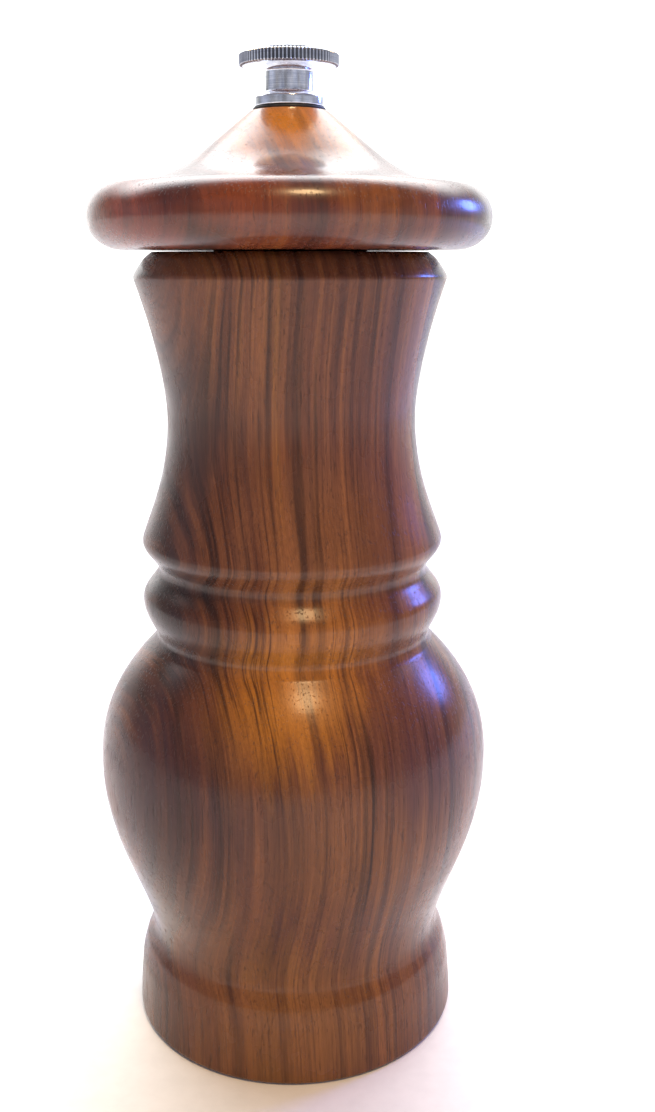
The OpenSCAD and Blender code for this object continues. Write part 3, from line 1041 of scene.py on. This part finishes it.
@dataclass
class Mechanism:
    """The stamped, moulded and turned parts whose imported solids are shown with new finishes."""

    steel: tuple[str, ...] = ("bridge_bar", "retaining_bar", "spring_washer", "turn_plate")
    screws: tuple[str, ...] = (
        "bridge_rivet_1", "bridge_rivet_2", "bar_screw_1", "bar_screw_2",
        "plate_screw_1", "plate_screw_2", "plate_screw_3",
    )
    burrs: tuple[str, ...] = ("stator_ring", "rotor_burr")
    brass: tuple[str, ...] = ("guide_bush", "thrust_washer")
    clips: tuple[str, ...] = ("shaft_clip",)
    plastic: tuple[str, ...] = ("burr_housing",)
    finishes: dict[str, Any] = field(
        default_factory=lambda: {
            # Mild steel strip, stamped and zinc plated: pale grey with scuffs.
            "steel": MetalFinish("zinc_plated_stamping", Metal.STAMPED, "#c9ccd0", "#8f9398", 0.32),
            # Cold-headed steel, zinc plated.
            "screws": MetalFinish("zinc_plated_screw", Metal.TURNED, "#d2d4d6", "#989ba0", 0.28),
            # Case-hardened steel: dark, mottled scale.
            "burrs": MetalFinish("case_hardened_steel", Metal.HARDENED, "#8c8f94", "#4c4e52", 0.40, 0.02),
            # Turned brass, slightly tarnished.
            "brass": MetalFinish("turned_brass", Metal.TURNED, "#d9b56a", "#9a7636", 0.30),
            # Spring steel strip, blued.
            "clips": MetalFinish("blued_spring_steel", Metal.STAMPED, "#8b8f98", "#53565e", 0.33),
            # Black nylon, moulded against a sparked tool.
            "plastic": DullFinish("moulded_nylon", "#2c2c2f", "#1d1d20", 0.46, 0.35),
        }
    )

    def build(self) -> list[bpy.types.Object]:
        """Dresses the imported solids.

        Returns:
            The dressed objects.
        """
        dressed = []
        for group, finish in self.finishes.items():
            material = finish.build()
            for name in getattr(self, group):
                dress(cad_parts[name], material)
                dressed.append(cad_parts[name])
        return dressed


# ---------------------------------------------------------------- studio


@dataclass
class Studio:
    """A plain pale floor, a white surround, a warm ceiling light and a cool window at the side."""

    height: float = 143.5
    distance: float = 211.4
    pitch: float = 14.2
    yaw: float = 1.75
    lens: float = 38.0
    floor_size: float = 4.0
    room_strength: float = 0.40
    sheet_strength: float = 1.3
    sky_strength: float = 6.0
    aim: float = 0.09

    def floor(self) -> None:
        """Lays the floor, a pale painted board with a faint unevenness, a hair below the foot."""
        half = self.floor_size / 2.0
        mesh = bpy.data.meshes.new("floor")
        z = -0.05 * MM
        corners = [(-half, -half, z), (half, -half, z), (half, half, z), (-half, half, z)]
        mesh.from_pydata(corners, [], [(0, 1, 2, 3)])
        plane = bpy.data.objects.new("floor", mesh)
        bpy.context.scene.collection.objects.link(plane)
        dress(plane, DullFinish("floor_paint", "#fbfaf8", "#f6f5f3", 0.7, 0.8).build())

    def lights(self) -> None:
        """Sets the warm ceiling light, the cool window and the surround."""
        self.panel("ceiling_light", (0.10, -0.42, 0.86), (0.20, 0.20), 4.2, "#ffd49c")
        self.panel("window", (0.75, 0.40, 0.38), (0.24, 0.22), 4.6, "#6484ff")
        bpy.context.scene.world = self.surround()

    def surround(self) -> bpy.types.World:
        """Makes the room: a white sheet behind the mill, a bright sky high behind it, a dim front.

        The sheet covers the directions that point nearly straight back and the sky those that
        point back and up; the rest of the room is palest at eye level and a little uneven.

        Returns:
            The world.
        """
        world = bpy.data.worlds.new("white_surround")
        world.use_nodes = True
        tree = world.node_tree
        away = add(tree, "ShaderNodeTexCoord").outputs["Generated"]
        parts = add(tree, "ShaderNodeSeparateXYZ", {0: away})
        back, up = parts.outputs["Y"], parts.outputs["Z"]
        sheet = self.rising(tree, back, 0.62, 0.90, self.sheet_strength)
        behind = self.rising(tree, back, 0.15, 0.55, 1.0)
        above = self.rising(tree, up, 0.40, 0.66, self.sky_strength)
        sky = add(tree, "ShaderNodeMath", {0: behind, 1: above}, operation="MULTIPLY")
        clutter = add(tree, "ShaderNodeTexNoise", {"Vector": away, "Scale": 2.6, "Detail": 1.0})
        uneven = add(
            tree, "ShaderNodeMapRange", {0: clutter.outputs["Fac"], 1: 0.34, 2: 0.66, 3: 0.6, 4: 1.4},
        )
        height = add(tree, "ShaderNodeMapRange", {0: up, 1: -0.1, 2: 0.7, 3: 1.7, 4: 0.7})
        room = add(tree, "ShaderNodeMath", {0: uneven.outputs[0], 1: height.outputs[0]}, operation="MULTIPLY")
        lit = add(
            tree, "ShaderNodeMath", {0: room.outputs[0], 1: self.room_strength, 2: sheet},
            operation="MULTIPLY_ADD",
        )
        strength = add(tree, "ShaderNodeMath", {0: lit.outputs[0], 1: sky.outputs[0]}, operation="ADD")
        white = self.rising(tree, back, 0.1, 0.6, 1.0)
        hue = add(
            tree, "ShaderNodeMix",
            {0: clutter.outputs["Color"], 6: linear("#f0e6da"), 7: linear("#cfdcff")}, data_type="RGBA",
        )
        shade = add(
            tree, "ShaderNodeMix", {0: white, 6: hue.outputs[2], 7: linear("#ffffff")}, data_type="RGBA",
        )
        background = tree.nodes["Background"]
        tree.links.new(shade.outputs[2], background.inputs["Color"])
        tree.links.new(strength.outputs[0], background.inputs["Strength"])
        return world

    def rising(self, tree: Tree, value: Socket, low: float, high: float, top: float) -> Socket:
        """Smooth step: nothing below the low value and the whole of top above the high one.

        Args:
            tree: node tree of the world.
            value: what is compared with the limits.
            low: where the step begins.
            high: where it ends.
            top: its height.

        Returns:
            The step.
        """
        limits = {0: value, 1: low, 2: high, 3: 0.0, 4: top}
        return add(tree, "ShaderNodeMapRange", limits, interpolation_type="SMOOTHSTEP").outputs[0]

    def panel(
        self, name: str, place: tuple[float, float, float], size: Point, power: float, colour: str,
    ) -> None:
        """Adds one soft oval light that faces the middle of the mill.

        Args:
            name: name of the light.
            place: where it is, in metres.
            size: width and height in metres.
            power: power in watts.
            colour: its colour as hex.
        """
        lamp = bpy.data.lights.new(name, "AREA")
        lamp.shape = "ELLIPSE"
        lamp.size, lamp.size_y = size
        lamp.energy = power
        lamp.color = linear(colour)[:3]
        holder = bpy.data.objects.new(name, lamp)
        bpy.context.scene.collection.objects.link(holder)
        towards = np.array([0.0, 0.0, self.aim]) - np.array(place)
        level = math.hypot(towards[0], towards[1])
        holder.location = place
        tilt, heading = math.atan2(towards[2], level), math.atan2(-towards[0], towards[1])
        holder.rotation_euler = (math.pi / 2.0 + tilt, 0.0, heading)

    def camera(self) -> None:
        """Places the camera in front of the mill, a little above its middle and looking down."""
        data = bpy.data.cameras.new("camera")
        data.lens = self.lens
        data.sensor_width = 36.0
        data.clip_start = 0.01
        holder = bpy.data.objects.new("camera", data)
        bpy.context.scene.collection.objects.link(holder)
        holder.location = (0.0, -self.distance * MM, self.height * MM)
        holder.rotation_euler = (math.radians(90.0 - self.pitch), 0.0, math.radians(-self.yaw))
        bpy.context.scene.camera = holder
        bpy.context.scene.view_settings.view_transform = "Standard"

    def build(self) -> None:
        """Builds the whole stage."""
        self.floor()
        self.lights()
        self.camera()


# Where the body's colour differs, each patch with its centre and reach in millimetres, its colour and its
# strength:
# the golden patches in front are painted warm light where the ceiling light falls, partly the wood's own
# golden colour;
# the body is darker to the left and purplish to the right.
BODY_ZONES = (
    # Golden patches in front: painted warm light of the ceiling light, partly the wood's own colour.
    Zone((-3.0, -29.0, 72.0), 15.0, "#c07a28", 0.75),
    Zone((6.0, -28.0, 82.0), 14.0, "#b06e2c", 0.60),
    Zone((4.0, -24.0, 98.0), 18.0, "#8c5c38", 0.40),
    Zone((6.0, -36.0, 46.0), 20.0, "#85572c", 0.35),
    Zone((-22.0, -16.0, 84.0), 17.0, "#1c1014", 0.80),
    Zone((-24.0, -26.0, 54.0), 24.0, "#2c1a24", 0.70),
    Zone((-19.0, -12.0, 112.0), 22.0, "#22151a", 0.70),
    Zone((26.0, -12.0, 118.0), 24.0, "#5a3236", 0.40),
    Zone((24.0, -26.0, 60.0), 15.0, "#3a2032", 0.55),
    # Golden patch at the foot's front: painted warm light, partly the wood's own colour.
    Zone((0.0, -31.0, 10.0), 24.0, "#93602e", 0.60),
)
# The same for the head: a golden cone, which is painted sheen of the strong light over the wood's orange
# colour, a reddish rim and two dark ends.
HEAD_ZONES = (
    # Golden cone: painted sheen of the strong light, over the wood's own orange.
    Zone((0.0, -10.0, 164.0), 13.0, "#d98a30", 0.80),
    Zone((-24.0, -24.0, 151.0), 13.0, "#7e3428", 0.60),
    Zone((-8.0, -33.0, 153.0), 8.0, "#96481f", 0.50),
    Zone((14.0, -32.0, 154.0), 9.0, "#9a5a26", 0.50),
    Zone((30.0, -14.0, 150.0), 11.0, "#2c1a22", 0.65),
    Zone((-18.0, -29.0, 154.0), 6.0, "#2e1514", 0.60),
)
# The head's tones are redder and darker than the body's.
HEAD_TONES = ((0.30, "#2b120e"), (0.41, "#411d14"), (0.50, "#5a2a19"), (0.59, "#6e381d"), (0.70, "#83481f"))


def main() -> None:
    """Builds the pieces in order and reports each one."""
    logging.basicConfig(level=logging.INFO, format="%(name)s: %(message)s")
    Studio().build()
    # Rosewood, turned, oiled and buffed: dark growth lines and open pores under a satin gloss.
    body_wood = Rosewood("oiled_rosewood_body", zones=BODY_ZONES).build()
    # The head is handled more, so its polish is higher and hides more of the lines.
    head_wood = Rosewood(
        "oiled_rosewood_head", offset=(40.0, 15.0, 70.0), tones=HEAD_TONES, zones=HEAD_ZONES,
        gloss=0.26, coat=0.30, ior=1.45, lines=0.6,
    ).build()
    # Brass turned and knurled, then nickel and chromium plated: mirror-like, with faint turning
    # rings, and darker between the teeth of the knurl.
    chrome = MetalFinish(
        "polished_chrome", Metal.TURNED, "#eceff5", "#c9cedb", 0.09, relief=0.002, dark_band=(7.85, 8.3),
    ).build()
    # Aluminium drawn through a square die: fine lines along the bar.
    drawn = MetalFinish("drawn_aluminium", Metal.DRAWN, "#c9cbcf", "#9b9ea4", 0.30).build()
    # Drawn spring wire, bright.
    wire = MetalFinish("bright_spring_wire", Metal.DRAWN, "#b9bcc2", "#7f8288", 0.24).build()
    # Black vulcanised fibre, pressed: nearly flat black.
    fibre = DullFinish("pressed_black_fibre", "#161618", "#0d0d0f", 0.5, 0.2).build()
    pieces = [
        WoodBody().build(body_wood),
        WoodHead().build(head_wood),
        FinialNut().build(chrome),
        FinialNut().build_washer(fibre),
        DriveShaft().build(drawn),
        CoilSpring().build(wire),
        *Mechanism().build(),
    ]
    for piece in pieces:
        log.info("%s: %d faces", piece.name, len(piece.data.polygons))


if __name__ == "__main__":
    main()
